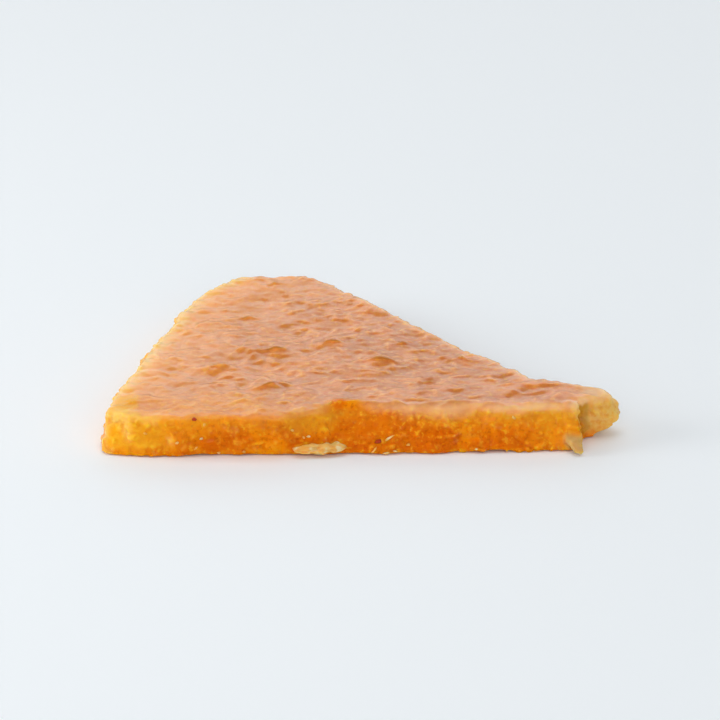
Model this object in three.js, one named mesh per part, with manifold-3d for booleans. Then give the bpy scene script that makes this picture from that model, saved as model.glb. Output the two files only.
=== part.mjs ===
// A shard of coconut brittle: one flat piece snapped out of a poured sheet of caramel and grated coconut.
// Millimetres, +Z up. The shard lies on its flat underside, and its box is centred on the Z axis.
import * as THREE from "three";
import { ImprovedNoise } from "three/addons/math/ImprovedNoise.js";
import { mergeVertices } from "three/addons/utils/BufferGeometryUtils.js";
import Module from "manifold-3d";

// The poured sheet: its thickness, and the swells, ripples and lumps of coconut that its skin set in.
const SHEET_THICKNESS = 3.75;
const THICKER_PER_MM = 0.007; // the sheet thickens towards the right
const SWELL = { height: 0.4, span: 11, pattern: 4.2 };
const RIPPLE = { height: 0.2, span: 3.4, pattern: 9.7 };
const LUMP = { height: 0.38, length: 1.5, width: 0.75 };
const LUMP_SCATTER = { count: 44, reach: 28, smallest: 0.35, largest: 0.85, seed: 11 };
// The lumps that stand out most: place, angle and size. The last one caps the chip in the front break.
const TALL_LUMPS = [
  [-6.7, 3.6, 0.05, 1.1],
  [-7, -5.9, 0.5, 1],
  [-1.2, 5.3, -0.1, 1],
  [3.4, 0.1, -0.08, 1.15],
  [6.8, -4.2, 0.2, 0.85],
  [-11.8, -0.8, 0.1, 0.75],
  [5.4, 5.2, 0.02, 0.8],
  [11, 1.4, -0.6, 0.8],
  [0.8, -11, 0, 1.4],
];

// The broken walls: how far their crags stand out, how soon the crags fade inwards, and chips at the foot.
const CRAG = { depth: 0.5, span: 2.3, fade: 0.07 };
const FOOT_CHIP = { height: 0.35, span: 3.1, pattern: 0.6 };
const WALL_CURVE = 1.5; // a break rises straight from the foot and curves back near the rim

// Shreds of coconut that stand out of the walls, and the longest one, at the foot of the front wall.
const SHRED = { width: 0.65, thickness: 0.5 };
const SHRED_SCATTER = { count: 15, shortest: 0.9, longest: 2.4, tilt: 0.8, seed: 5 };
const SHRED_BAND = { lowest: 0.25, highest: 0.75 }; // shares of the wall's height
const FRONT_SHRED = { share: 0.454, up: 0.15, length: 4.4, width: 0.9, thickness: 0.5, tilt: 0.05 };

// The nub at the right corner is broken away underneath, as if a round bite were out of it.
const UNDERCUT = { centre: [26, -8.2, -0.2], radii: [3.4, 4.5, 2.1] };

// The splinter at the right corner: it leaves the wall and ends just above the level of the underside.
const SPLINTER = { width: 1.7, thickness: 0.55, from: [20.5, -11.4, 2.4], to: [21.4, -14.6, 0.25] };

// The grid that the shard is made from: columns run left to right, rows front to back, layers up.
const COLUMNS = 46;
const ROWS = 40;
const LAYERS = 5;

// The sheet set a hair hollow underneath, so it stands on three feet, which are points of the grid.
const HOLLOW = { depth: 0.03, slope: 0.015 };
const FEET = [[4, 3], [42, 3], [23, 37]]; // the column and row of each

// A bend in the outline, where a break changes direction: its place at the rim and at the foot of the wall.
function bend(x, y, footX = x, footY = y) {
  return { rim: new THREE.Vector2(x, y), foot: new THREE.Vector2(footX, footY) };
}

// The four corners of the shard.
const frontLeft = bend(-21.9, -11.6, -22.5, -12.4);
const frontRight = bend(21.4, -11.6, 21.2, -13);
const backRight = bend(-2.8, 24.2);
const backLeft = bend(-10, 25.3, -10.2, 25.6);

// The front break, with the chip that sets its rim back near the middle.
const chipLeft = [bend(-3.4, -13, -3.2, -14.1), bend(-2, -11.9, -1.8, -14), bend(-1.2, -10.8, -1, -14)];
const chipRight = [bend(1.6, -10.7, 1.6, -14), bend(3.4, -11.2, 3.4, -14), bend(6.4, -11.3, 6.4, -13.9)];
const front = [frontLeft, bend(-19.6, -13.5), bend(-15.6, -14.2), bend(-6, -14.2), ...chipLeft, ...chipRight];
front.push(bend(14, -11.4, 14, -13.5), frontRight);

// The right break, with the blunt nub that juts out just behind its near end.
const nub = [bend(21.6, -9.8), bend(24.6, -9.3), bend(24.9, -7.6), bend(20.9, -6.2)];
const right = [frontRight, ...nub, bend(17.2, -4.6), bend(12.7, 2.6), bend(8.3, 8.4), backRight];

const back = [backLeft, bend(-6, 25.5), backRight];
const left = [frontLeft, bend(-18.3, 4.4, -19.1, 4.5), bend(-14.4, 19.6, -15, 19.9), backLeft];

const perlin = new ImprovedNoise();

function noise(x, y, z, span) {
  return perlin.noise(x / span, y / span, z / span);
}

// Draws between two limits, the same on every run.
function seededDraws(seed) {
  THREE.MathUtils.seededRandom(seed);
  return (low, high) => THREE.MathUtils.lerp(low, high, THREE.MathUtils.seededRandom());
}

// A break as a function: share runs along it by the length of its rim, and level from the foot to the rim.
function breakLine(bends) {
  const reach = [0];
  for (let i = 1; i < bends.length; i++) {
    reach.push(reach[i - 1] + bends[i].rim.distanceTo(bends[i - 1].rim));
  }
  return (share, level) => {
    const along = share * reach.at(-1);
    const next = reach.findIndex((end, i) => i > 0 && (end >= along || i === reach.length - 1));
    const [from, to] = [bends[next - 1], bends[next]];
    const step = (along - reach[next - 1]) / (reach[next] - reach[next - 1]);
    const foot = from.foot.clone().lerp(to.foot, step);
    const rim = from.rim.clone().lerp(to.rim, step);
    return foot.lerp(rim, level);
  };
}

const frontLine = breakLine(front);
const rightLine = breakLine(right);
const backLine = breakLine(back);
const leftLine = breakLine(left);

// The plan of the shard: a patch stretched between the four breaks, u to the right and v to the back.
function planPoint(u, v, level) {
  const frontToBack = frontLine(u, level).lerp(backLine(u, level), v);
  const leftToRight = leftLine(v, level).lerp(rightLine(v, level), u);
  const nearCorners = frontLine(0, level).lerp(frontLine(1, level), u);
  const farCorners = backLine(0, level).lerp(backLine(1, level), u);
  return frontToBack.add(leftToRight).sub(nearCorners.lerp(farCorners, v));
}

const feet = FEET.map(([column, row]) => planPoint(column / COLUMNS, row / ROWS, 0));

// How far the underside is above the level of the feet.
function hollow(x, y) {
  const place = new THREE.Vector2(x, y);
  const nearest = Math.min(...feet.map((foot) => foot.distanceTo(place)));
  return Math.min(HOLLOW.depth, HOLLOW.slope * nearest);
}

// Lumps of coconut under the skin, each a short ridge at its own angle.
function lump(x, y, angle, size) {
  return { centre: new THREE.Vector2(x, y), angle, size };
}

function scatterLumps({ count, reach, smallest, largest, seed }) {
  const draw = seededDraws(seed);
  const place = () => draw(-reach, reach);
  const turn = () => draw(0, Math.PI);
  return Array.from({ length: count }, () => lump(place(), place(), turn(), draw(smallest, largest)));
}

const lumps = [...TALL_LUMPS.map((values) => lump(...values)), ...scatterLumps(LUMP_SCATTER)];

function lumpHeight(x, y) {
  let height = 0;
  for (const { centre, angle, size } of lumps) {
    const place = new THREE.Vector2(x, y).rotateAround(centre, -angle).sub(centre);
    const along = place.x / (LUMP.length * size);
    const across = place.y / (LUMP.width * size);
    height += LUMP.height * size * Math.exp(-along * along - across * across);
  }
  return height;
}

function skinHeight(x, y) {
  const swell = SWELL.height * noise(x, y, SWELL.pattern, SWELL.span);
  const ripple = RIPPLE.height * noise(x, y, RIPPLE.pattern, RIPPLE.span);
  return SHEET_THICKNESS + THICKER_PER_MM * x + swell + ripple + lumpHeight(x, y);
}

// A point of the shard from its place in the grid, where u, v and w each run from 0 to 1.
function shardPoint(u, v, w) {
  const plan = planPoint(u, v, w ** WALL_CURVE);
  const inwards = Math.min(u, 1 - u, v, 1 - v);
  const exposed = Math.max(0, 1 - inwards / CRAG.fade);
  const up = w * SHEET_THICKNESS;
  const x = plan.x + exposed * CRAG.depth * noise(plan.x, plan.y, up, CRAG.span);
  const y = plan.y + exposed * CRAG.depth * noise(plan.y, up, plan.x, CRAG.span);
  const footChip = FOOT_CHIP.height * Math.max(0, noise(x, y, FOOT_CHIP.pattern, FOOT_CHIP.span));
  const underside = hollow(x, y) + exposed * footChip;
  return new THREE.Vector3(x, y, THREE.MathUtils.lerp(underside, skinHeight(x, y), w));
}

// A geometry with its corners shared between faces, so that it is one closed surface.
function closed(geometry) {
  geometry.deleteAttribute("normal");
  geometry.deleteAttribute("uv");
  return mergeVertices(geometry);
}

// The body of the shard: a gridded box whose points are moved to their places.
function bodyGeometry() {
  const grid = closed(new THREE.BoxGeometry(1, 1, 1, COLUMNS, ROWS, LAYERS).translate(0.5, 0.5, 0.5));
  const points = grid.attributes.position;
  for (let i = 0; i < points.count; i++) {
    const { x, y, z } = shardPoint(points.getX(i), points.getY(i), points.getZ(i));
    points.setXYZ(i, x, y, z);
  }
  return grid;
}

// A shred of coconut: a strip along X, tapered to both ends, with its flat side to the front.
function shredGeometry(length, width, thickness) {
  const steps = 4;
  const endTaper = 0.6;
  const strip = closed(new THREE.BoxGeometry(length, thickness, width, steps, 1, 1));
  const points = strip.attributes.position;
  for (let i = 0; i < points.count; i++) {
    const along = (2 * points.getX(i)) / length;
    const taper = 1 - endTaper * along * along;
    points.setXYZ(i, points.getX(i), points.getY(i) * taper, points.getZ(i) * taper);
  }
  return strip;
}

// The walls, each as a function of the share along its break and of the height up it.
const walls = {
  front: (share, up) => shardPoint(share, 0, up),
  right: (share, up) => shardPoint(1, share, up),
  back: (share, up) => shardPoint(share, 1, up),
  left: (share, up) => shardPoint(0, share, up),
};

// A shred lying along a wall, half sunk in it.
function wallShred(wall, { share, up, length, width, thickness, tilt }) {
  const nudge = 0.01;
  const direction = wall(share + nudge, up).sub(wall(share - nudge, up));
  const place = wall(share, up);
  const shred = shredGeometry(length, width, thickness);
  shred.rotateY(tilt);
  shred.rotateZ(Math.atan2(direction.y, direction.x));
  return shred.translate(place.x, place.y, place.z);
}

function scatterShreds({ count, shortest, longest, tilt, seed }) {
  const draw = seededDraws(seed);
  const order = [walls.front, walls.right, walls.left, walls.front, walls.right, walls.back];
  const cornerClear = 0.06;
  return Array.from({ length: count }, (_, i) => {
    const share = draw(cornerClear, 1 - cornerClear);
    const up = draw(SHRED_BAND.lowest, SHRED_BAND.highest);
    const length = draw(shortest, longest);
    return wallShred(order[i % order.length], { ...SHRED, share, up, length, tilt: draw(-tilt, tilt) });
  });
}

// The bite under the nub.
function undercutGeometry({ centre, radii }) {
  const ball = new THREE.SphereGeometry(1, 20, 12);
  return closed(ball.scale(...radii).translate(...centre));
}

// The splinter: a strip from its root in the wall to its tip, with its width level.
function splinterGeometry({ width, thickness, from, to }) {
  const root = new THREE.Vector3(...from);
  const tip = new THREE.Vector3(...to);
  const along = tip.clone().sub(root).normalize();
  const across = along.clone().cross(new THREE.Vector3(0, 0, 1)).normalize();
  const outwards = across.clone().cross(along);
  const sliver = shredGeometry(root.distanceTo(tip), width, thickness);
  sliver.applyMatrix4(new THREE.Matrix4().makeBasis(along, outwards, across));
  const middle = root.lerp(tip, 0.5);
  return sliver.translate(middle.x, middle.y, middle.z);
}

const wasm = await Module();
wasm.setup();

function solid(geometry) {
  const vertProperties = geometry.attributes.position.array;
  const triVerts = new Uint32Array(geometry.index.array);
  return new wasm.Manifold(new wasm.Mesh({ numProp: 3, vertProperties, triVerts }));
}

// The whole shard as one solid: the body with the splinter and the shreds joined to it, standing on z = 0.
function brittleGeometry() {
  const body = solid(bodyGeometry()).subtract(solid(undercutGeometry(UNDERCUT)));
  const frontShred = wallShred(walls.front, FRONT_SHRED);
  const pieces = [splinterGeometry(SPLINTER), frontShred, ...scatterShreds(SHRED_SCATTER)];
  const whole = pieces.reduce((joined, piece) => joined.add(solid(piece)), body);
  const mesh = whole.getMesh();
  const geometry = new THREE.BufferGeometry();
  geometry.setAttribute("position", new THREE.BufferAttribute(mesh.vertProperties, 3));
  geometry.setIndex(new THREE.BufferAttribute(mesh.triVerts, 1));
  geometry.computeBoundingBox();
  const middle = geometry.boundingBox.getCenter(new THREE.Vector3());
  geometry.translate(-middle.x, -middle.y, -geometry.boundingBox.min.z);
  geometry.computeVertexNormals();
  return geometry;
}

const caramel = new THREE.MeshStandardMaterial({ color: 0xd88a2a, roughness: 0.3, metalness: 0 });
const shard = new THREE.Mesh(brittleGeometry(), caramel);
shard.name = "brittle_shard";

const brittle = new THREE.Group();
brittle.add(shard);

export default brittle;
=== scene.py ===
import math
import random

import bmesh
import bpy
import numpy as np
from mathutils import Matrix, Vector, kdtree, noise
from mathutils.bvhtree import BVHTree


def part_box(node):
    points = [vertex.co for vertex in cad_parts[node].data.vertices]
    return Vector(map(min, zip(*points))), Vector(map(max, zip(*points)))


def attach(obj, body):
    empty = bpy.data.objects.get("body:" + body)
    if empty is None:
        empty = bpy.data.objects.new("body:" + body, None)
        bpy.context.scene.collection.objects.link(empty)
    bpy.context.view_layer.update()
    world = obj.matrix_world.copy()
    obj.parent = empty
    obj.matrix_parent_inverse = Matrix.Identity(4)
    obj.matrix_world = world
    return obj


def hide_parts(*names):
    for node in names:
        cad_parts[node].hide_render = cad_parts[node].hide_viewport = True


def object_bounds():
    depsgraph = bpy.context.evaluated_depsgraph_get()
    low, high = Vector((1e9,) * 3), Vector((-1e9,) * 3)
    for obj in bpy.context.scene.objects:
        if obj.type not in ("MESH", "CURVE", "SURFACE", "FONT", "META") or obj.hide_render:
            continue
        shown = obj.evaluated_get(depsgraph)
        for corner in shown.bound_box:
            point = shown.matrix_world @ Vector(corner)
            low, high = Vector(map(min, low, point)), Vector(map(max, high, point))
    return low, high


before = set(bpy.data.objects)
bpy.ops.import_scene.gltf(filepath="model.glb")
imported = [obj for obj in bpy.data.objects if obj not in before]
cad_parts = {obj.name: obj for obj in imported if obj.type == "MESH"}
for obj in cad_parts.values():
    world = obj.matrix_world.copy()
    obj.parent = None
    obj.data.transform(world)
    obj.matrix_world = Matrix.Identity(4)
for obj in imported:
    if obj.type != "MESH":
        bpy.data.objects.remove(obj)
cad_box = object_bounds()

# The shard: one piece of a poured sheet of caramel and grated coconut, snapped off by hand once hard.
# Its top set as a glossy skin over the shreds. Its walls are the bare breaks, grainy with torn shreds.
MM = 0.001  # sizes and places on the shard are in millimetres

# The grated coconut, which lies all through the sheet and nearly level.
SHREDS_PER_CUBIC_MM = 0.62
SHRED_LENGTH = (1.1, 3.2)
SHRED_RADIUS = (0.2, 0.36)
SHRED_SLOPE = 0.22
SHRED_STEP = 0.25
SHRED_SEED = 21


def scattered_shreds(low, high, draw):
    """Points along the shreds in a box, and for each point its shred's radius and number."""
    size = high - low
    points, radii, owners = [], [], []
    for number in range(int(SHREDS_PER_CUBIC_MM * size.x * size.y * size.z)):
        middle = Vector(draw.uniform(*span) for span in zip(low, high))
        turn = draw.uniform(0, math.pi)
        along = Vector((math.cos(turn), math.sin(turn), draw.gauss(0, SHRED_SLOPE))).normalized()
        half = draw.uniform(*SHRED_LENGTH) / 2
        radius = draw.uniform(*SHRED_RADIUS)
        for step in range(int(2 * half / SHRED_STEP) + 1):
            points.append(middle + along * (step * SHRED_STEP - half))
            radii.append(radius)
            owners.append(number)
    return points, np.array(radii), np.array(owners)


def tree_of(points):
    """The points, sorted so that the one nearest to a place is soon found."""
    tree = kdtree.KDTree(len(points))
    for number, point in enumerate(points):
        tree.insert(point, number)
    tree.balance()
    return tree


shred_draw = random.Random(SHRED_SEED)
box_low, box_high = (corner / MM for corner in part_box("brittle_shard"))
shred_points, shred_radii, shred_owners = scattered_shreds(box_low, box_high, shred_draw)
shred_tree = tree_of(shred_points)

# The solid's facets are rounded off. Its crags and the edge of its foot stay sharper than its rim.
WELD = 0.002
WALL_FACING = 0.62
BREAK_TURN = math.radians(14)
BREAK_CREASE = 0.8
RIM_TURN = math.radians(38)
RIM_CREASE = 0.15
FOOT_LEVEL = 0.6
FOOT_CREASE = 0.9
QUAD_BEND = 0.6
QUAD_SKEW = 0.9
ROUNDING_LEVELS = 2

shard = bpy.data.objects.new("caramel_shard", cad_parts["brittle_shard"].data.copy())
bpy.context.scene.collection.objects.link(shard)

form = bmesh.new()
form.from_mesh(shard.data)
bmesh.ops.remove_doubles(form, verts=form.verts, dist=WELD * MM)
crease = form.edges.layers.float.new("crease_edge")
for edge in form.edges:
    turn = edge.calc_face_angle(0)
    in_wall = all(abs(face.normal.z) < WALL_FACING for face in edge.link_faces)
    if in_wall and turn > BREAK_TURN:
        edge[crease] = BREAK_CREASE
    elif turn > RIM_TURN:
        at_foot = max(vert.co.z for vert in edge.verts) < FOOT_LEVEL * MM
        edge[crease] = FOOT_CREASE if at_foot else RIM_CREASE
bmesh.ops.join_triangles(
    form, faces=form.faces, angle_face_threshold=QUAD_BEND, angle_shape_threshold=QUAD_SKEW
)
form.to_mesh(shard.data)
form.free()

rounding = shard.modifiers.new("rounding", "SUBSURF")
rounding.levels = ROUNDING_LEVELS

# It is cut into fine even faces, which are joined where the underside is flat and halved on the breaks.
FACE_SIZE = 0.21
FLAT_FACING = 0.999
FLAT_STEPS = 4


def vectors(elements, name):
    """A vector of each element of a mesh, as the rows of an array."""
    values = np.empty(3 * len(elements))
    elements.foreach_get(name, values)
    return values.reshape(-1, 3)


remeshing = shard.modifiers.new("remeshing", "REMESH")
remeshing.mode = "VOXEL"
remeshing.voxel_size = FACE_SIZE * MM
remeshing.use_smooth_shade = True
depsgraph = bpy.context.evaluated_depsgraph_get()
shard.data = bpy.data.meshes.new_from_object(shard.evaluated_get(depsgraph))
shard.modifiers.clear()

form = bmesh.new()
form.from_mesh(shard.data)
flat = [vert for vert in form.verts if all(face.normal.z < -FLAT_FACING for face in vert.link_faces)]
bmesh.ops.unsubdivide(form, verts=flat, iterations=FLAT_STEPS)
broken_faces = {face for face in form.faces if abs(face.normal.z) < WALL_FACING}
broken_edges = [edge for edge in form.edges if all(face in broken_faces for face in edge.link_faces)]
bmesh.ops.subdivide_edges(form, edges=broken_edges, cuts=1, use_grid_fill=True)
form.to_mesh(shard.data)
form.free()

places = vectors(shard.data.vertices, "co") / MM
facing = vectors(shard.data.vertices, "normal")
x, y, z = places.T  # views, which follow the places when those move
facing_x, facing_y, facing_z = facing.T
joined = np.empty(2 * len(shard.data.edges), np.int64)
shard.data.edges.foreach_get("vertices", joined)
joined = joined.reshape(-1, 2)

# The skin covers the top but for the chip in the front rim. To the right of that it folds over the rim.
SKIN_FACING = (0.5, 0.9)
SKIN_LEVEL = (2.7, 3.3)
SKIN_BLEND_STEPS = 12
FOLD_LEVEL = (3.35, 3.8)
FOLD_START = (-6.5, -4.5)
CHIP_MIDDLE = -0.3
CHIP_HALF = 2.0
CHIP_BACK = (-13.0, -11.0)
CHIP_CAP = ((-2.2, -16.4, 4.3), (-0.6, -16.4, 4.3), 1.2)
CHIP_FACE = ((-2.4, -17.1, 3.3), (0.0, -17.1, 3.3), 1.1)
CHIP_SLOPE = ((0.0, -17.4, 2.95), (3.2, -17.6, 2.8), 1.0)
PATCH_CORE = 0.6


def smooth_step(low, high, value):
    """0 up to low, 1 from high on, and a smooth rise between. With low above high it is a fall."""
    share = np.clip((value - low) / (high - low), 0, 1)
    return share * share * (3 - 2 * share)


def near(places, patch):
    """1 near a patch, falling to 0 at its reach. A patch is the two ends of a line, and a reach."""
    begin, end, reach = (np.array(value) for value in patch)
    line = end - begin
    along = np.clip((places - begin) @ line / (line @ line), 0, 1)
    away = np.linalg.norm(places - begin - along[:, None] * line, axis=1)
    return 1 - smooth_step(PATCH_CORE, 1, away / reach)


def relaxed(values, joined, steps):
    """Values at the points of a mesh, evened out with their neighbours."""
    ends, others = np.concatenate([joined, joined[:, ::-1]]).T
    neighbours = np.bincount(ends, minlength=len(values))
    for _ in range(steps):
        values = 0.5 * values + 0.5 * np.bincount(ends, values[others], len(values)) / neighbours
    return values


off_chip = 1 - np.exp(-((x - CHIP_MIDDLE) / CHIP_HALF) ** 2)
off_chip = np.maximum(off_chip, smooth_step(*CHIP_BACK, y))
fold = off_chip * smooth_step(*FOLD_LEVEL, z) * smooth_step(*FOLD_START, x)
cap = near(places, CHIP_CAP)
bare = np.maximum(np.maximum(near(places, CHIP_FACE), near(places, CHIP_SLOPE)), cap)
facing_up = smooth_step(*SKIN_FACING, facing_z)
skin = np.maximum(facing_up * smooth_step(*SKIN_LEVEL, z), fold) * (1 - bare)
skin = relaxed(skin, joined, SKIN_BLEND_STEPS)
underside = smooth_step(*SKIN_FACING, -facing_z)
wall = 1 - skin - underside

# The skin's relief: the shreds that it covers, crests over the tallest of them, and ripples.
SHRED_EDGE = (0.3, 1.25)
SKIN_RISE = 0.12
SKIN_FILM_STEPS = 3
SKIN_RIPPLES = ((0.13, 1.4), (0.08, 0.65))  # height and span of each
CREST_HEIGHT = 0.26
CREST_LENGTH = 0.9
CREST_WIDTH = 0.2
CRESTS = (  # place to the right and to the back, turn and size of each
    (-8.1, -1.9, 0.05, 1.1),
    (-8.4, -11.4, 0.5, 1.0),
    (-2.6, -0.2, -0.1, 1.0),
    (2.0, -5.4, -0.08, 1.2),
    (-13.2, -6.3, 0.1, 0.7),
    (4.0, -0.3, 0.02, 0.8),
    (9.6, -4.1, -0.6, 0.7),
    (-21.0, -15.6, 0.4, 0.7),
    (-8.3, 16.8, 0.05, 0.8),
    (-11.0, 8.0, 0.05, 0.8),
    (6.5, -10.6, 0.1, 0.7),
)


def noise_at(places, span):
    """Noise between about -1 and 1 at each place, with lumps of about that span."""
    return np.array([noise.noise(Vector(place)) for place in places / span])


def crests(x, y):
    """Heights of the crests at each place, each a short ridge at its own angle."""
    heights = np.zeros(len(x))
    for crest_x, crest_y, turn, size in CRESTS:
        across, away = x - crest_x, y - crest_y
        along = (math.cos(turn) * across + math.sin(turn) * away) / (CREST_LENGTH * size)
        aside = (math.cos(turn) * away - math.sin(turn) * across) / (CREST_WIDTH * size)
        heights += CREST_HEIGHT * size * np.exp(-along * along - aside * aside)
    return heights


nearest = [shred_tree.find(place) for place in places]
distance = np.array([found[2] for found in nearest])
owner = shred_owners[[found[1] for found in nearest]]
radius = shred_radii[[found[1] for found in nearest]]
shred = 1 - smooth_step(*SHRED_EDGE, distance / radius)
crest = crests(x, y)
film = relaxed(SKIN_RISE * shred, joined, SKIN_FILM_STEPS) + crest
for height, span in SKIN_RIPPLES:
    film += height * noise_at(places, span)

# The relief of the breaks: torn shreds, pits where others were pulled out, small flat chips, and lumps.
WALL_RISE = 0.18
PULLED_OUT = 0.25
PIT_DEPTH = -0.7
FLAT_CHIP_SPAN = 0.75
FLAT_CHIP_LEAN = 0.3
FLAT_CHIP_SHUFFLE = 97.0
WALL_LUMPS = ((0.16, 1.5), (0.09, 0.5))  # height and span of each


def flat_chips(places, span):
    """Heights of small flat chips at each place, each of about that span and leaning its own way."""
    heights = []
    for place in places / span:
        centre = noise.voronoi(Vector(place))[1][0]
        lean = noise.cell_vector(centre * FLAT_CHIP_SHUFFLE) - Vector((0.5, 0.5, 0.5))
        heights.append((Vector(place) - centre).dot(lean))
    return span * np.array(heights)


pulled = np.array([shred_draw.random() < PULLED_OUT for _ in range(shred_owners.max() + 1)])[owner]
stands = np.where(pulled, PIT_DEPTH, 1.0)
broken = WALL_RISE * shred * stands + FLAT_CHIP_LEAN * flat_chips(places, FLAT_CHIP_SPAN)
for height, span in WALL_LUMPS:
    broken += height * noise_at(places, span)

# The skin is duller at the front left and at two golden patches of painted glow. Along the rim it is a pale
# lip of painted highlight.
DULL = 0.4
DULL_BACK = (-11.0, -17.5)
DULL_RIGHT = (-3.0, -10.0)
GOLDEN_GLOW = ((-21.4, -16.6, 3.6), (-21.4, -14.4, 3.6), 1.4)
GOLDEN_DULL = 0.6
CHIP_SIDE_GLOW = ((-5.6, -19.0, 3.3), (-3.4, -17.9, 3.3), 1.8)
CHIP_SIDE_SHARE = 0.5
LIP_FACING = (0.995, 0.85)
LIP_STEPS = 50
LIP_RIGHT = (-5.0, 3.0)
LIP_GAIN = (0.6, 1.4)


def note(piece, name, values):
    """Keeps a value for each point of the piece's mesh, for its finish to read."""
    kept_values = piece.data.attributes.new(name, "FLOAT", "POINT")
    kept_values.data.foreach_set("value", values.astype(np.float32))


dull =DULL * smooth_step(*DULL_BACK, y) * smooth_step(*DULL_RIGHT, x)
golden_glow = np.maximum(near(places, GOLDEN_GLOW), CHIP_SIDE_SHARE * near(places, CHIP_SIDE_GLOW))
# The pale lip is a painted highlight along the rim.
lip_highlight = relaxed(smooth_step(*LIP_FACING, facing_z) * (1 - cap) * off_chip, joined, LIP_STEPS)
lip_highlight *= np.interp(x, LIP_RIGHT, LIP_GAIN)
note(shard, "coconut", shred)
# The crests' heights are kept for a painted shade on them in the finish.
note(shard, "crest", np.minimum(crest / CREST_HEIGHT, 1))
note(shard, "golden_glow", golden_glow)
note(shard, "skin", skin * (1 - dull) * (1 - GOLDEN_DULL * golden_glow))
note(shard, "lip_highlight", np.minimum(lip_highlight, 1))

# Light comes through the caramel along the left break, as a bright band and a wide glow.
MOSTLY_WALL = 0.5
LEFT_FACING = -0.6
LEFT_BREAK_RIGHT = -8.0
EDGE_GLOWS = ((0.45, 1.4), (0.55, 7.5))  # share and span of each

left_break = (wall > MOSTLY_WALL) & (facing_x < LEFT_FACING) & (x < LEFT_BREAK_RIGHT)
left_tree = tree_of(places[left_break])
inset = np.array([left_tree.find(place)[2] for place in places])
note(shard, "edge", sum(share * np.exp(-inset / span) for share, span in EDGE_GLOWS))

# The front wall has painted shade at the chip's foot, and painted light below its rim and at its left end.
FRONT_FACING = (0.2, 0.6)
CHIP_FOOT_SHADE = ((0.5, -19.2, 1.5), (4.0, -19.2, 1.5), 4.0)
RIM_LEVEL = (1.8, 3.6)
RIM_SHARE = 0.25
RIM_RIGHT = (2.0, 10.0)
RIM_RIGHT_GAIN = 0.25
LEFT_END_GLOW = (14.0, 21.0)
RIGHT_END = (14.5, 19.0)
RIGHT_SHARE = 0.4
ENDS_LEVEL = (0.0, 1.2)
CORNER_HIGHLIGHT = ((19.75, -17.0, 4.0), (19.75, -17.2, 2.4), 0.6)
LEFT_CORNER_GLOW = ((-22.6, -17.6, 3.3), (-18.6, -18.9, 3.3), 0.9)

facing_front = smooth_step(*FRONT_FACING, -facing_y)
# Painted light: the wall is more golden below its rim, where light comes in through the top of the caramel.
rim_glow = (RIM_SHARE + RIM_RIGHT_GAIN * smooth_step(*RIM_RIGHT, x)) * smooth_step(*RIM_LEVEL, z)
# Painted light from the left makes the wall golden at its left end. Towards its right end it is more golden
# too.
ends = np.maximum(smooth_step(*LEFT_END_GLOW, -x), RIGHT_SHARE * smooth_step(*RIGHT_END, x))
note(shard, "chip_shade", near(places, CHIP_FOOT_SHADE))
note(shard, "rim_glow", rim_glow * ((1 - cap) * (1 - facing_up)))
note(shard, "ends", ends * (facing_front * smooth_step(*ENDS_LEVEL, z)))
# Painted highlights: a pale streak down the right corner, and a pale glow along the left corner's rim.
note(shard, "corner", np.maximum(near(places, CORNER_HIGHLIGHT), near(places, LEFT_CORNER_GLOW)))

# At the right corner are a splinter, a recess behind it darkened with painted shade, and a pale nub behind
# that.
RECESS_SHADE = ((20.3, -15.6, 3.6), (20.3, -15.6, 1.2), 0.9)
NUB = ((21.6, -13.6, 2.2), (23.4, -13.6, 2.2), 2.8)
SPLINTER = ((19.1, -16.9, 2.4), (20.0, -20.1, 0.25), 1.2)
SPLINTER_FRONT = (18.2, 18.9)
SPLINTER_RIGHT = (20.1, 20.4)

nub = near(places, NUB)
past_corner = np.maximum(smooth_step(*SPLINTER_FRONT, -y), smooth_step(*SPLINTER_RIGHT, x))
note(shard, "recess_shade", near(places, RECESS_SHADE))
note(shard, "nub", nub)
note(shard, "splinter", near(places, SPLINTER) * past_corner)

# The points move: the nub swells, the left foot leans out, the chip's cap rises, and the relief is laid on.
NUB_WARP = 0.6
NUB_WARP_SPAN = 1.5
NUB_END = (21.6, 23.6)
NUB_HALF = 1.4
NUB_ROUND = 0.35
NUB_MOST_ROUND = 1.5
NUB_SWELL = 1.05
SWELL_LEVEL = 1.2
SWELL_HALF = 0.9
SWELL_START = (20.6, 21.8)
SWELL_FOOT = (0.0, 0.8)
SWELL_LUMPS = 0.4
SWELL_LUMP_SPAN = 0.9
LEFT_LEAN = 1.1
LEAN_START = (14.5, 21.0)
LEAN_LEVEL = (2.8, 0.0)
CAP_RISE = 0.06
CAP_STEP = (-2.9, -2.5)

nub_aside = (y - NUB[0][1]) / NUB_HALF
nub_round = NUB_ROUND * (smooth_step(*NUB_END, x) * nub) * np.minimum(nub_aside ** 2, NUB_MOST_ROUND)
nub_warp = NUB_WARP * nub * noise_at(places, NUB_WARP_SPAN)
swell = NUB_SWELL * np.exp(-((z - SWELL_LEVEL) / SWELL_HALF) ** 2)
swell *= smooth_step(*SWELL_START, x) * smooth_step(*SWELL_FOOT, z)
swell *= 1 + SWELL_LUMPS * noise_at(places, SWELL_LUMP_SPAN)
lean = LEFT_LEAN * smooth_step(*LEAN_START, -x) * smooth_step(*LEAN_LEVEL, z)
x += swell
x -= nub_round
y += nub_warp
y -= lean * facing_front
places += facing * (skin * film + wall * broken)[:, None]
z += CAP_RISE * cap * smooth_step(*CAP_STEP, x)
z[:] = np.maximum(z, 0)
shard.data.vertices.foreach_set("co", (places * MM).ravel())
shard.data.update()

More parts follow.
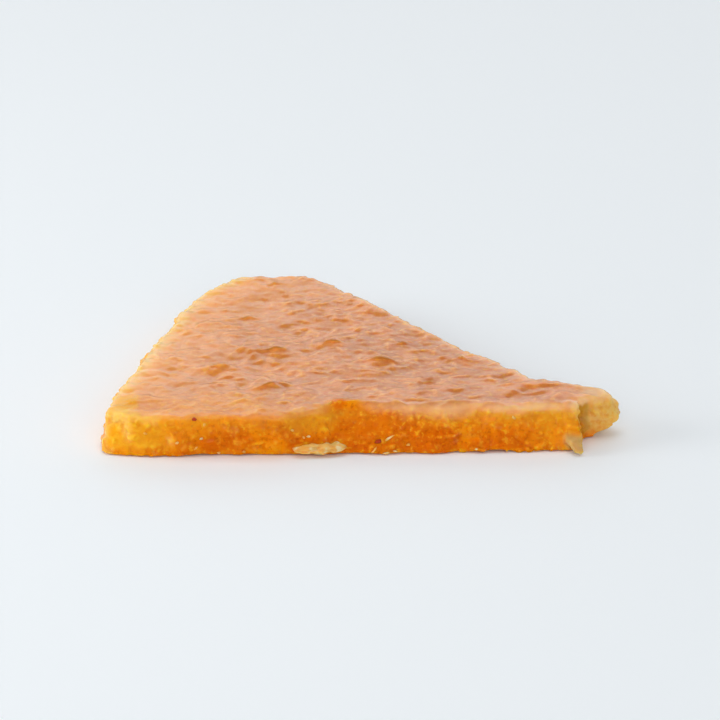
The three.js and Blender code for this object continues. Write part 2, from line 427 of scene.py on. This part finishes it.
# The caramel's finish: clear and grainy on the breaks, cooked darker and glossy on the skin.
BURNT = (0.56, 0.1, 0.001, 1)
DEEP = (0.76, 0.17, 0.002, 1)
AMBER = (0.95, 0.31, 0.003, 1)
HONEY = (0.92, 0.46, 0.02, 1)
TOFFEE = (0.58, 0.185, 0.02, 1)
TAN = (0.79, 0.275, 0.05, 1)
SHADE_OCHRE = (0.44, 0.15, 0.008, 1)
BUTTER = (1.0, 0.6, 0.14, 1)
APRICOT = (1.0, 0.42, 0.08, 1)
CREAM = (0.97, 0.58, 0.05, 1)
STRAW = (0.86, 0.56, 0.155, 1)
HUSK = (0.62, 0.38, 0.13, 1)
SHADE_UMBER = (0.36, 0.17, 0.012, 1)
WHEAT = (0.76, 0.44, 0.035, 1)
PEACH = (1.0, 0.6, 0.31, 1)
CLOUD_SPAN = 2.6
GRAIN_SPAN = 0.34
FLECK_SPAN = 0.45
CRYSTAL_SPAN = 0.4
WALL_BUMP_SPAN = 0.14
WALL_BUMP_DEPTH = 0.04
SKIN_BUMP_SPAN = 0.5
SKIN_BUMP_DEPTH = 0.05
CARAMEL_IOR = 1.5
CARAMEL_GLOW = (1.0, 0.7, 0.2)
WALL_GLOW_DEPTH = 0.8
SKIN_GLOW_DEPTH = 1.8


class Wire:
    """A socket of a finish's nodes. Sums on wires and numbers become Math nodes."""

    def __init__(self, tree, socket=None):
        self.tree = tree
        self.socket = socket

    def node(self, kind, settings, values, output=0):
        """Adds a node, with its settings and its sockets' values or wires, and gives one output of it."""
        made = self.tree.nodes.new(kind)
        for name, value in settings.items():
            setattr(made, name, value)
        for name, value in values.items():
            if isinstance(value, Wire):
                self.tree.links.new(value.socket, made.inputs[name])
            else:
                made.inputs[name].default_value = value
        return Wire(self.tree, made.outputs[output]) if made.outputs else None

    def maths(self, operation, *values):
        """A Math node on values or wires."""
        return self.node("ShaderNodeMath", {"operation": operation}, dict(enumerate(values)))

    def __add__(self, other):
        return self.maths("ADD", self, other)

    def __sub__(self, other):
        return self.maths("SUBTRACT", self, other)

    def __rsub__(self, other):
        return self.maths("SUBTRACT", other, self)

    def __mul__(self, other):
        return self.maths("MULTIPLY", self, other)

    __radd__ = __add__
    __rmul__ = __mul__

    def between(self, low, high):
        """0 up to low, 1 from high on, and a smooth rise between. With low above high it is a fall."""
        settings = {"interpolation_type": "SMOOTHSTEP"}
        return self.node("ShaderNodeMapRange", settings, {"Value": self, "From Min": low, "From Max": high})

    def mix(self, first, second):
        """The first colour where this wire is 0 and the second where it is 1."""
        # A Mix node has several sockets of one name, so those for colours are given by number.
        return self.node("ShaderNodeMix", {"data_type": "RGBA"}, {0: self, 6: first, 7: second}, 2)


def new_finish(name):
    """A new material, and the wire that its nodes start from."""
    material = bpy.data.materials.new(name)
    material.use_nodes = True
    material.node_tree.nodes.clear()
    return material, Wire(material.node_tree)


def kept(start, name):
    """The value that was kept at each point of the piece's mesh under a name."""
    return start.node("ShaderNodeAttribute", {"attribute_name": name}, {}, "Fac")


def speckle(start, span, detail=2.0):
    """Noise between 0 and 1 all through the piece, with lumps of about that span."""
    place = start.node("ShaderNodeTexCoord", {}, {}, "Object")
    values = {"Vector": place, "Scale": 1 / (span * MM), "Detail": detail, "Roughness": 0.55}
    return start.node("ShaderNodeTexNoise", {}, values, "Fac")


def crystals(start, span):
    """A value between 0 and 1 for each of the crystals that fill the piece, each of about that span."""
    place = start.node("ShaderNodeTexCoord", {}, {}, "Object")
    cells = start.node("ShaderNodeTexVoronoi", {}, {"Vector": place, "Scale": 1 / (span * MM)}, "Color")
    return start.node("ShaderNodeSeparateColor", {}, {"Color": cells})


def layered(colour, layers):
    """A colour with others laid over it in turn, each with its own share."""
    for share, over in layers:
        colour = share.mix(colour, over)
    return colour


caramel, start = new_finish("coconut_caramel")
on_skin = kept(start, "skin")
on_lip_highlight = kept(start, "lip_highlight")
on_crest_shade = kept(start, "crest")
on_nub = kept(start, "nub")
on_splinter = kept(start, "splinter")
in_shred = kept(start, "coconut")
in_recess_shade = kept(start, "recess_shade")
in_golden_glow = kept(start, "golden_glow")
at_chip_shade = kept(start, "chip_shade")
at_corner_light = kept(start, "corner")
at_edge = kept(start, "edge")
at_ends = kept(start, "ends")
at_rim_glow = kept(start, "rim_glow")
clouds = speckle(start, CLOUD_SPAN).between(0.36, 0.66)
grain = speckle(start, GRAIN_SPAN)
flecks = speckle(start, FLECK_SPAN, detail=3.0)
crystal = crystals(start, CRYSTAL_SPAN)

# Painted shade darkens the wall towards deep amber at the chip's foot.
glassy = layered((clouds * (1 - 0.8 * at_chip_shade)).mix(DEEP, AMBER), (
    (flecks.between(0.46, 0.3) * 0.6 * (1 - at_rim_glow) * (1 - 0.75 * at_ends), BURNT),
    (flecks.between(0.54, 0.7) * 0.7, HONEY),
    # Painted light below the rim.
    (at_rim_glow, WHEAT),
    # Painted light at the left end. Towards the right end the wall is only more golden.
    (at_ends * 0.75, HONEY),
    # Painted glow at the two golden patches.
    (in_golden_glow * 0.7, HONEY),
    (on_skin * 0.3 * (1 - 0.7 * at_ends), PEACH),
    (in_shred * 0.3 * grain.between(0.35, 0.65), CREAM),
    (on_nub * (0.45 + 0.45 * flecks.between(0.34, 0.6)), STRAW),
    # Painted shade in the recess.
    (in_recess_shade * 0.45, SHADE_UMBER),
    # Painted highlights at both corners.
    (at_corner_light * 0.5, BUTTER),
    (at_edge.between(0.8, 1.0) * 0.3, BUTTER),
    (on_splinter, HUSK),
))
wall_bump = start.node("ShaderNodeBump", {}, {
    "Strength": 0.5,
    "Distance": WALL_BUMP_DEPTH * MM,
    "Height": speckle(start, WALL_BUMP_SPAN, detail=3.0),
})
wall_surface = start.node("ShaderNodeBsdfPrincipled", {}, {
    "Base Color": glassy,
    "Roughness": 0.25 + 0.2 * grain,
    "IOR": CARAMEL_IOR,
    "Specular IOR Level": 0.03,
    "Coat Weight": crystal.between(0.9, 0.97) * 0.4 + at_edge.between(0.75, 1.0) * 0.6,
    "Coat Roughness": 0.1,
    "Subsurface Weight": 1.0,
    "Subsurface Radius": CARAMEL_GLOW,
    "Subsurface Scale": WALL_GLOW_DEPTH * MM,
    "Normal": wall_bump,
})
cooked = layered((0.1 + 0.7 * clouds).mix(TOFFEE, TAN), (
    (in_shred.between(0.2, 0.9) * 0.4, APRICOT),
    (flecks.between(0.5, 0.35) * 0.4, BURNT),
    (flecks.between(0.56, 0.7) * 0.3, CREAM),
    (at_edge * 1.2, APRICOT),
    (at_edge.between(0.5, 1.0), BUTTER),
    # Painted shade: the crests are tinted ochre where their steep slopes mirror less light.
    (on_crest_shade.between(0.25, 0.7) * 0.9, SHADE_OCHRE),
    # Painted highlight: the pale lip along the rim.
    (on_lip_highlight * (0.55 + 0.4 * clouds), PEACH),
    (on_nub * 0.5, STRAW),
    (on_splinter, HUSK),
))
skin_bump = start.node("ShaderNodeBump", {}, {
    "Strength": 0.4,
    "Distance": SKIN_BUMP_DEPTH * MM,
    "Height": speckle(start, SKIN_BUMP_SPAN),
})
skin_surface = start.node("ShaderNodeBsdfPrincipled", {}, {
    "Base Color": cooked,
    "Roughness": 0.12 + 0.12 * grain,
    "IOR": CARAMEL_IOR,
    "Subsurface Weight": 1.0,
    "Subsurface Radius": CARAMEL_GLOW,
    "Subsurface Scale": SKIN_GLOW_DEPTH * MM,
    "Normal": skin_bump,
})
whole = start.node("ShaderNodeMixShader", {}, {0: on_skin, 1: wall_surface, 2: skin_surface})
start.node("ShaderNodeOutputMaterial", {}, {"Surface": whole})
shard.data.materials.clear()
shard.data.materials.append(caramel)
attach(shard, "root")
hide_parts("brittle_shard")

# Bare coconut: one long flake stuck along the foot of the front break, and torn shreds and crumbs on all
# the breaks. It is grated flesh that the caramel holds by one side. Most of it is cream, and two of the
# crumbs are toasted dark.
FLAKE_ENDS = (-6.2, -1.2)
FLAKE_FOOT = 0.22
FLAKE_WIDTH = 1.0
FLAKE_THICKNESS = 0.5
FLAKE_ROOT = 0.2
FLAKE_STEPS = (44, 16)
FLAKE_BLUNTNESS = 5
FLAKE_SQUARENESS = 4
FLAKE_WAVE = 0.1
RAGGED_MEAN = 0.75
RAGGED_REACH = 0.5
RAGS_PER_MM = 1.7
FIBRE_MEAN = 0.95
FIBRE_LEAN = 0.6
FIBRE_RISE = 0.8
FIBRES_PER_MM = 0.9
FIBRES_ACROSS = 5
WAVE_PLANE, RAG_PLANE, FIBRE_PLANE = 1, 4, 2  # where in the noise each is read
WELL_IN_FRONT = 1.0  # in metres

bits_form = bmesh.new()
toast = bits_form.verts.layers.float.new("toasted")
breaks = BVHTree.FromObject(shard, bpy.context.evaluated_depsgraph_get())


def front_wall(along, up):
    """The place on the front wall at a distance along it and a height."""
    outside = Vector((along * MM, box_low.y * MM - WELL_IN_FRONT, up * MM))
    return breaks.ray_cast(outside, Vector((0, 1, 0)))[0] / MM


columns, rows = FLAKE_STEPS
front, back = {}, {}
for column in range(columns + 1):
    share = column / columns
    along = FLAKE_ENDS[0] + share * (FLAKE_ENDS[1] - FLAKE_ENDS[0])
    taper = 1 - abs(2 * share - 1) ** FLAKE_BLUNTNESS
    wave = FLAKE_WAVE * noise.noise(Vector((along, 0, WAVE_PLANE)))
    for row in range(rows + 1):
        aside = 2 * row / rows - 1
        rag = noise.noise(Vector((RAGS_PER_MM * along, aside, RAG_PLANE)))
        ragged = RAGGED_MEAN + RAGGED_REACH * rag
        up = FLAKE_FOOT + FLAKE_WIDTH / 2 * (1 + aside * taper * ragged) + wave
        place = front_wall(along, max(up, FLAKE_FOOT / 2))
        fibre = noise.noise(Vector((FIBRES_PER_MM * along, FIBRES_ACROSS * aside, FIBRE_PLANE)))
        fibres = FIBRE_MEAN - FIBRE_LEAN * aside + FIBRE_RISE * fibre
        arch = math.sqrt(max(0, 1 - aside ** FLAKE_SQUARENESS))
        proud = FLAKE_THICKNESS * arch * math.sqrt(max(0, taper)) * fibres
        front[column, row] = bits_form.verts.new(place - Vector((0, proud, 0)))
        back[column, row] = bits_form.verts.new(place + Vector((0, FLAKE_ROOT, 0)))
for column in range(columns):
    for row in range(rows):
        corners = ((column, row), (column + 1, row), (column + 1, row + 1), (column, row + 1))
        bits_form.faces.new([front[corner] for corner in corners])
        bits_form.faces.new([back[corner] for corner in reversed(corners)])
loop = [(column, 0) for column in range(columns)] + [(columns, row) for row in range(rows)]
loop += [(column, rows) for column in range(columns, 0, -1)] + [(0, row) for row in range(rows, 0, -1)]
for corner, following in zip(loop, loop[1:] + loop[:1]):
    bits_form.faces.new([front[following], front[corner], back[corner], back[following]])

# The torn shreds and crumbs that stand out most: place along the front wall, height, length and tilt.
TORN_SHREDS = (
    (2.4, 1.3, 1.7, 0.55),
    (2.4, 0.2, 0.6, 0.1),
    (3.2, 0.3, 0.5, -0.2),
    (4.4, 0.85, 0.42, 0.3),
    (1.3, 0.5, 0.7, 0.9),
    (-16.7, 1.4, 0.4, 0.5),
    (-14.5, 1.7, 0.34, 0.2),
    (-14.2, 3.1, 0.34, 1.2),
    (-12.9, 0.3, 0.36, 0.0),
    (-15.0, 0.85, 0.4, 0.7),
    (-10.6, 0.4, 0.3, 0.1),
    # Painted highlight: this pale shred on the chip's top left corner stands in for a glint there.
    (-2.8, 3.9, 0.6, 0.6),
)
TOASTED_CRUMBS = ((-15.1, 3.6, 0.45, 0.0), (1.7, 1.2, 0.8, 0.3))
TORN_WIDTH = 0.28
TOASTED_WIDTH = 0.5
CRUMB_FLATNESS = 0.7
CRUMB_DENT = 0.5
DENTS_PER_CRUMB = 2.8
CRUMB_SHUFFLE = 9
OTHER_CRUMBS = 14
OTHER_LENGTH = (0.2, 0.5)
OTHER_SEED = 8
ALL_WALL = 0.9
TIP_WELD = 0.001


def crumb(place, along, length, width, toasted):
    """A crumb or a torn shred at a place, lying along a direction."""
    turn = along.to_track_quat("X", "Z")
    width = min(length, width)
    size = Vector((length, width, CRUMB_FLATNESS * width))
    for vert in bmesh.ops.create_icosphere(bits_form, subdivisions=2, radius=0.5)["verts"]:
        dent = 1 + CRUMB_DENT * noise.noise(vert.co * DENTS_PER_CRUMB + CRUMB_SHUFFLE * place)
        vert.co = place + turn @ (size * vert.co * dent)
        vert[toast] = toasted


for crumbs, width, toasted in ((TORN_SHREDS, TORN_WIDTH, 0.0), (TOASTED_CRUMBS, TOASTED_WIDTH, 1.0)):
    for along, up, length, tilt in crumbs:
        crumb(front_wall(along, up), Vector((math.cos(tilt), 0, math.sin(tilt))), length, width, toasted)
other_draw = random.Random(OTHER_SEED)
for index in other_draw.sample(list(np.flatnonzero(wall > ALL_WALL)), OTHER_CRUMBS):
    direction = Vector(other_draw.gauss(0, 1) for _ in range(3))
    crumb(Vector(places[index]), direction, other_draw.uniform(*OTHER_LENGTH), TORN_WIDTH, 0.0)
for vert in bits_form.verts:
    vert.co.z = max(vert.co.z, 0)
bmesh.ops.remove_doubles(bits_form, verts=bits_form.verts, dist=TIP_WELD)
bmesh.ops.scale(bits_form, vec=(MM, MM, MM), verts=bits_form.verts)
bits = bpy.data.objects.new("bare_coconut", bpy.data.meshes.new("bare_coconut"))
bits_form.to_mesh(bits.data)
bits_form.free()
bits.data.shade_smooth()
bpy.context.scene.collection.objects.link(bits)

# The coconut's finish: cream flesh with pale streaks, stained amber in places by the caramel.
COCONUT_WHITE = (1.0, 0.53, 0.14, 1)
PALE_FLESH = (1.0, 0.78, 0.46, 1)
TOASTED = (0.4, 0.035, 0.001, 1)
STAIN_SPAN = 0.6
STREAK_SPAN = 0.8
COCONUT_GLOW = (1.0, 0.7, 0.3)
COCONUT_GLOW_DEPTH = 0.6

coconut, start = new_finish("bare_coconut")
stain = speckle(start, STAIN_SPAN).between(0.4, 0.62)
streaks = speckle(start, STREAK_SPAN, detail=1.0).between(0.5, 0.64)
flesh = layered((0.5 * stain).mix(COCONUT_WHITE, AMBER), (
    (0.75 * streaks, PALE_FLESH),
    (kept(start, "toasted"), TOASTED),
))
coconut_surface = start.node("ShaderNodeBsdfPrincipled", {}, {
    "Base Color": flesh,
    "Roughness": 0.45,
    "IOR": 1.45,
    "Subsurface Weight": 0.6,
    "Subsurface Radius": COCONUT_GLOW,
    "Subsurface Scale": COCONUT_GLOW_DEPTH * MM,
})
start.node("ShaderNodeOutputMaterial", {}, {"Surface": coconut_surface})
bits.data.materials.append(coconut)
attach(bits, "root")

# The surface that the shard lies on: a plain pale board with a dull face.
# It is far wider than the view, so that none of its edges shows.
FLOOR_SIZE = 6.0  # in metres
BOARD_COLOUR = (0.92, 0.96, 0.99, 1)

outline = bmesh.new()
bmesh.ops.create_grid(outline, x_segments=1, y_segments=1, size=FLOOR_SIZE / 2)
floor = bpy.data.objects.new("floor", bpy.data.meshes.new("floor"))
outline.to_mesh(floor.data)
outline.free()
bpy.context.scene.collection.objects.link(floor)
pale_board, start = new_finish("pale_board")
board_surface = start.node("ShaderNodeBsdfPrincipled", {}, {"Base Color": BOARD_COLOUR, "Roughness": 0.6})
start.node("ShaderNodeOutputMaterial", {}, {"Surface": board_surface})
floor.data.materials.append(pale_board)

# The light: a dim pale room, and a wide bright backdrop that the skin mirrors. Three more lamps, low on
# the left, overhead and in front, light the shard but aren't mirrored. Cards like the backdrop, in front
# and at both sides, are only mirrored.
ROOM_COLOUR = (0.95, 0.98, 1.0, 1)
ROOM_STRENGTH = 0.3
CARD_AWAY = 0.8  # in metres, as are the places and sizes of all the lamps
CARD_UP = 0.36
CARD_SIZE = (1.6, 0.5)
CARD_WATTS = 2.4

room = bpy.data.worlds.new("room")
room.use_nodes = True
room.node_tree.nodes["Background"].inputs["Color"].default_value = ROOM_COLOUR
room.node_tree.nodes["Background"].inputs["Strength"].default_value = ROOM_STRENGTH
bpy.context.scene.world = room


def softbox(name, place, size, watts):
    """A wide soft lamp that points at the shard."""
    lamp = bpy.data.lights.new(name, "AREA")
    lamp.shape = "RECTANGLE"
    lamp.size, lamp.size_y = size
    lamp.energy = watts
    held = bpy.data.objects.new(name, lamp)
    held.location = place
    held.rotation_euler = (-Vector(place)).to_track_quat("-Z", "Y").to_euler()
    bpy.context.scene.collection.objects.link(held)
    return held


softbox("backdrop", (0, CARD_AWAY, CARD_UP), CARD_SIZE, CARD_WATTS)
left_lamp = softbox("left_lamp", (-0.3, -0.03, 0.1), size=(0.2, 0.14), watts=0.5)
overhead = softbox("overhead", (0.0, 0.1, 0.9), size=(0.8, 0.8), watts=2.6)
fill = softbox("fill", (0.1, -0.7, 0.32), size=(0.6, 0.4), watts=1.95)
for held in (left_lamp, overhead, fill):
    held.visible_glossy = False
for name, right, behind in (("front_card", 0, -1), ("left_card", -1, 0), ("right_card", 1, 0)):
    place = (right * CARD_AWAY, behind * CARD_AWAY, CARD_UP)
    softbox(name, place, CARD_SIZE, CARD_WATTS).visible_diffuse = False

# The camera looks at the front break from about 20 degrees up, as the photograph does. It stands well
# back with a long lens, so that the back of the shard isn't drawn much smaller than its front.
VIEW_UP = math.radians(20)
VIEW_DISTANCE = 0.55  # in metres
VIEW_WIDTH = 0.068
SENSOR = 36.0  # in millimetres

low, high = cad_box
middle = (Vector(low) + Vector(high)) / 2
view = bpy.data.cameras.new("camera")
view.sensor_width = SENSOR
view.lens = SENSOR * VIEW_DISTANCE / VIEW_WIDTH
camera = bpy.data.objects.new("camera", view)
camera.location = middle + VIEW_DISTANCE * Vector((0, -math.cos(VIEW_UP), math.sin(VIEW_UP)))
camera.rotation_euler = (math.pi / 2 - VIEW_UP, 0, 0)
bpy.context.scene.collection.objects.link(camera)
bpy.context.scene.camera = camera
bpy.context.scene.view_settings.view_transform = "Standard"
